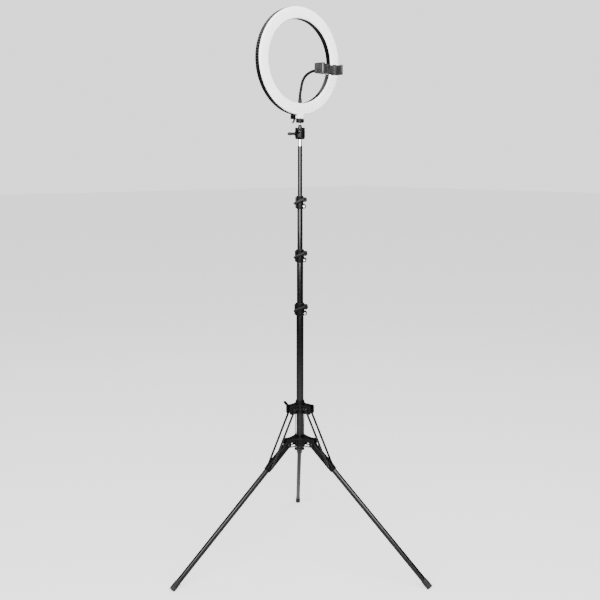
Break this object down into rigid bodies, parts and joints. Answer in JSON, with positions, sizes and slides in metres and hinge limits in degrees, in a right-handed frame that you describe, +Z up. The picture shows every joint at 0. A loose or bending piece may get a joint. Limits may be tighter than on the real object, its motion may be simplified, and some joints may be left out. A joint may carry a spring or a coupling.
{
  "type": "ring light on a stand",
  "caption": "Ring light with a milky diffuser on a black telescopic stand with folding legs, a ball head and a gooseneck phone holder.",
  "frame": {"origin": "bottom centre of the whole object's box, on the floor; the mast axis stands at x 73.7 mm, y 37.4 mm", "axes": "+Z up along the mast, -Y the way the lamp faces at rest"},
  "size_m": [0.7137, 0.7475, 1.652],
  "materials": {
    "black_enamel": "satin black enamel",
    "black_plastic": "moulded, semi-matt",
    "zinc_steel": "zinc plated",
    "chrome": "polished",
    "milky_plastic": "milky translucent, softly frosted",
    "board_white": "white solder mask",
    "rubber": "matt",
    "grey_plastic": "satin dark grey"
  },
  "bodies": {
    "stand": {"column_tube": "black_enamel", "column_end_plug": "black_plastic", "lower_hub": "black_plastic", "leg_pin_1": "black_enamel", "leg_pin_2": "black_enamel", "leg_pin_3": "black_enamel", "clamp_collar_1": "black_plastic", "clamp_bolt_1": "zinc_steel"},
    "carriage": {"upper_hub": "black_plastic", "brace_top_pin_1": "black_enamel", "brace_top_pin_2": "black_enamel", "brace_top_pin_3": "black_enamel"},
    "hub_knob": {"hub_wing_knob": "black_plastic"},
    "leg_1": {"leg_bracket_1": "black_plastic", "leg_tube_1": "black_enamel", "leg_foot_1": "rubber", "brace_pin_1": "black_enamel"},
    "braces_1": {"brace_1_left": "black_enamel", "brace_1_right": "black_enamel"},
    "lever_1": {"clamp_lever_1": "black_plastic"},
    "leg_2": {"leg_bracket_2": "black_plastic", "leg_tube_2": "black_enamel", "leg_foot_2": "rubber", "brace_pin_2": "black_enamel"},
    "braces_2": {"brace_2_left": "black_enamel", "brace_2_right": "black_enamel"},
    "lever_2": {"clamp_lever_2": "black_plastic"},
    "leg_3": {"leg_bracket_3": "black_plastic", "leg_tube_3": "black_enamel", "leg_foot_3": "rubber", "brace_pin_3": "black_enamel"},
    "braces_3": {"brace_3_left": "black_enamel", "brace_3_right": "black_enamel"},
    "lever_3": {"clamp_lever_3": "black_plastic"},
    "mast_section_1": {"mast_tube_1": "black_enamel", "clamp_collar_2": "black_plastic", "clamp_bolt_2": "zinc_steel"},
    "mast_section_2": {"mast_tube_2": "black_enamel", "clamp_collar_3": "black_plastic", "clamp_bolt_3": "zinc_steel"},
    "mast_section_3": {"mast_tube_3": "black_enamel", "mast_stud": "chrome"},
    "ball_head": {"ball_housing": "black_plastic"},
    "ball_knob": {"ball_lock_knob": "black_plastic"},
    "ball": {"ball_stem": "black_enamel"},
    "lock_disc": {"lock_ring": "black_plastic"},
    "lamp": {"ring_housing": "black_plastic", "ring_diffuser": "milky_plastic", "led_board": "board_white", "mount_block": "black_plastic", "cable_gland": "rubber", "gooseneck_ferrule": "black_plastic"},
    "arm_lower": {"gooseneck_lower": "black_plastic"},
    "arm_middle": {"gooseneck_middle": "black_plastic"},
    "arm_upper": {"gooseneck_upper": "black_plastic"},
    "holder_socket": {"holder_nut": "black_plastic"},
    "holder": {"holder_frame": "grey_plastic", "pad_fixed": "rubber"},
    "jaw": {"sliding_jaw": "grey_plastic", "pad_sliding": "rubber"}
  },
  "joints": [
    {"name": "leg_1_fold", "type": "hinge", "parent": "stand", "child": "leg_1", "pos_m": [0.10202, 0.07114, 0.3718], "axis": [0.766, -0.6428, 0], "range_deg": [0, 133.6]},
    {"name": "leg_2_fold", "type": "hinge", "parent": "stand", "child": "leg_2", "pos_m": [0.03041, 0.04508, 0.3718], "axis": [0.1736, 0.9848, 0], "range_deg": [0, 133.6]},
    {"name": "leg_3_fold", "type": "hinge", "parent": "stand", "child": "leg_3", "pos_m": [0.08879, -0.00391, 0.3718], "axis": [-0.9397, -0.342, 0], "range_deg": [0, 133.6]},
    {"name": "carriage_slide", "type": "slide", "parent": "stand", "child": "carriage", "axis": [0, 0, 1], "range_m": [0, 0.15647]},
    {"name": "hub_knob_turn", "type": "hinge", "parent": "carriage", "child": "hub_knob", "pos_m": [0.06576, 0.0606, 0.4775], "axis": [-0.3256, 0.9455, 0], "continuous": true},
    {"name": "braces_1_fold", "type": "hinge", "parent": "leg_1", "child": "braces_1", "pos_m": [0.14057, 0.11708, 0.31456], "axis": [0.766, -0.6428, 0], "range_deg": [-153.18, 0]},
    {"name": "braces_2_fold", "type": "hinge", "parent": "leg_2", "child": "braces_2", "pos_m": [-0.02865, 0.05549, 0.31456], "axis": [0.1736, 0.9848, 0], "range_deg": [-153.18, 0]},
    {"name": "braces_3_fold", "type": "hinge", "parent": "leg_3", "child": "braces_3", "pos_m": [0.1093, -0.06026, 0.31456], "axis": [-0.9397, -0.342, 0], "range_deg": [-153.18, 0]},
    {"name": "section_1_slide", "type": "slide", "parent": "stand", "child": "mast_section_1", "axis": [0, 0, 1], "range_m": [-0.118, 0.18]},
    {"name": "section_2_slide", "type": "slide", "parent": "mast_section_1", "child": "mast_section_2", "axis": [0, 0, 1], "range_m": [-0.115, 0.18]},
    {"name": "section_3_slide", "type": "slide", "parent": "mast_section_2", "child": "mast_section_3", "axis": [0, 0, 1], "range_m": [-0.138, 0.177]},
    {"name": "lever_1_turn", "type": "hinge", "parent": "stand", "child": "lever_1", "pos_m": [0.08687, 0.02602, 0.793], "axis": [0.6561, 0.7547, 0], "range_deg": [0, 60]},
    {"name": "lever_2_turn", "type": "hinge", "parent": "mast_section_1", "child": "lever_2", "pos_m": [0.08544, 0.02727, 0.9525], "axis": [0.6561, 0.7547, 0], "range_deg": [0, 60]},
    {"name": "lever_3_turn", "type": "hinge", "parent": "mast_section_2", "child": "lever_3", "pos_m": [0.08438, 0.02819, 1.11], "axis": [0.6561, 0.7547, 0], "range_deg": [0, 60]},
    {"name": "head_pan", "type": "hinge", "parent": "mast_section_3", "child": "ball_head", "pos_m": [0.07374, 0.03744, 1.305], "axis": [0, 0, 1], "continuous": true},
    {"name": "ball_knob_turn", "type": "hinge", "parent": "ball_head", "child": "ball_knob", "pos_m": [0.06061, 0.04885, 1.299], "axis": [-0.7547, 0.6561, 0], "continuous": true},
    {"name": "ball_tilt", "type": "hinge", "parent": "ball_head", "child": "ball", "pos_m": [0.07374, 0.03744, 1.305], "axis": [0.5, -0.866, 0], "range_deg": [-15, 90]},
    {"name": "lock_disc_turn", "type": "hinge", "parent": "ball", "child": "lock_disc", "pos_m": [0.07374, 0.03744, 1.33], "axis": [0, 0, 1], "continuous": true},
    {"name": "lamp_swivel", "type": "hinge", "parent": "ball", "child": "lamp", "pos_m": [0.07374, 0.03744, 1.502], "axis": [0, 0, 1], "continuous": true},
    {"name": "gooseneck_swing", "type": "hinge", "parent": "lamp", "child": "arm_lower", "pos_m": [0.07374, 0.03744, 1.401], "axis": [0, 0, 1], "range_deg": [-25, 25]},
    {"name": "gooseneck_bend_1", "type": "hinge", "parent": "arm_lower", "child": "arm_middle", "pos_m": [0.07432, 0.03328, 1.4265], "axis": [-0.9903, -0.1392, 0], "range_deg": [-30, 35]},
    {"name": "gooseneck_bend_2", "type": "hinge", "parent": "arm_middle", "child": "arm_upper", "pos_m": [0.07659, 0.01714, 1.4595], "axis": [-0.9903, -0.1392, 0], "range_deg": [-30, 35]},
    {"name": "holder_tilt", "type": "hinge", "parent": "arm_upper", "child": "holder_socket", "pos_m": [0.08383, -0.03436, 1.4735], "axis": [-0.9903, -0.1392, 0], "range_deg": [-18, 20]},
    {"name": "holder_roll", "type": "hinge", "parent": "holder_socket", "child": "holder", "pos_m": [0.08613, -0.05069, 1.4735], "axis": [0.1392, -0.9903, 0], "continuous": true},
    {"name": "jaw_slide", "type": "slide", "parent": "holder", "child": "jaw", "axis": [0.9903, 0.1392, 0], "range_m": [-0.0175, 0.012], "stiffness_N_per_m": 150, "springref_m": -0.0175}
  ],
  "couplings": [
    {"joint": "leg_2_fold", "follows": "leg_1_fold", "ratio": 1},
    {"joint": "leg_3_fold", "follows": "leg_1_fold", "ratio": 1},
    {"joint": "carriage_slide", "follows": "leg_1_fold", "m_per_rad": 0.067062},
    {"joint": "braces_1_fold", "follows": "leg_1_fold", "ratio": -1.1458},
    {"joint": "braces_2_fold", "follows": "leg_1_fold", "ratio": -1.1458},
    {"joint": "braces_3_fold", "follows": "leg_1_fold", "ratio": -1.1458}
  ]
}
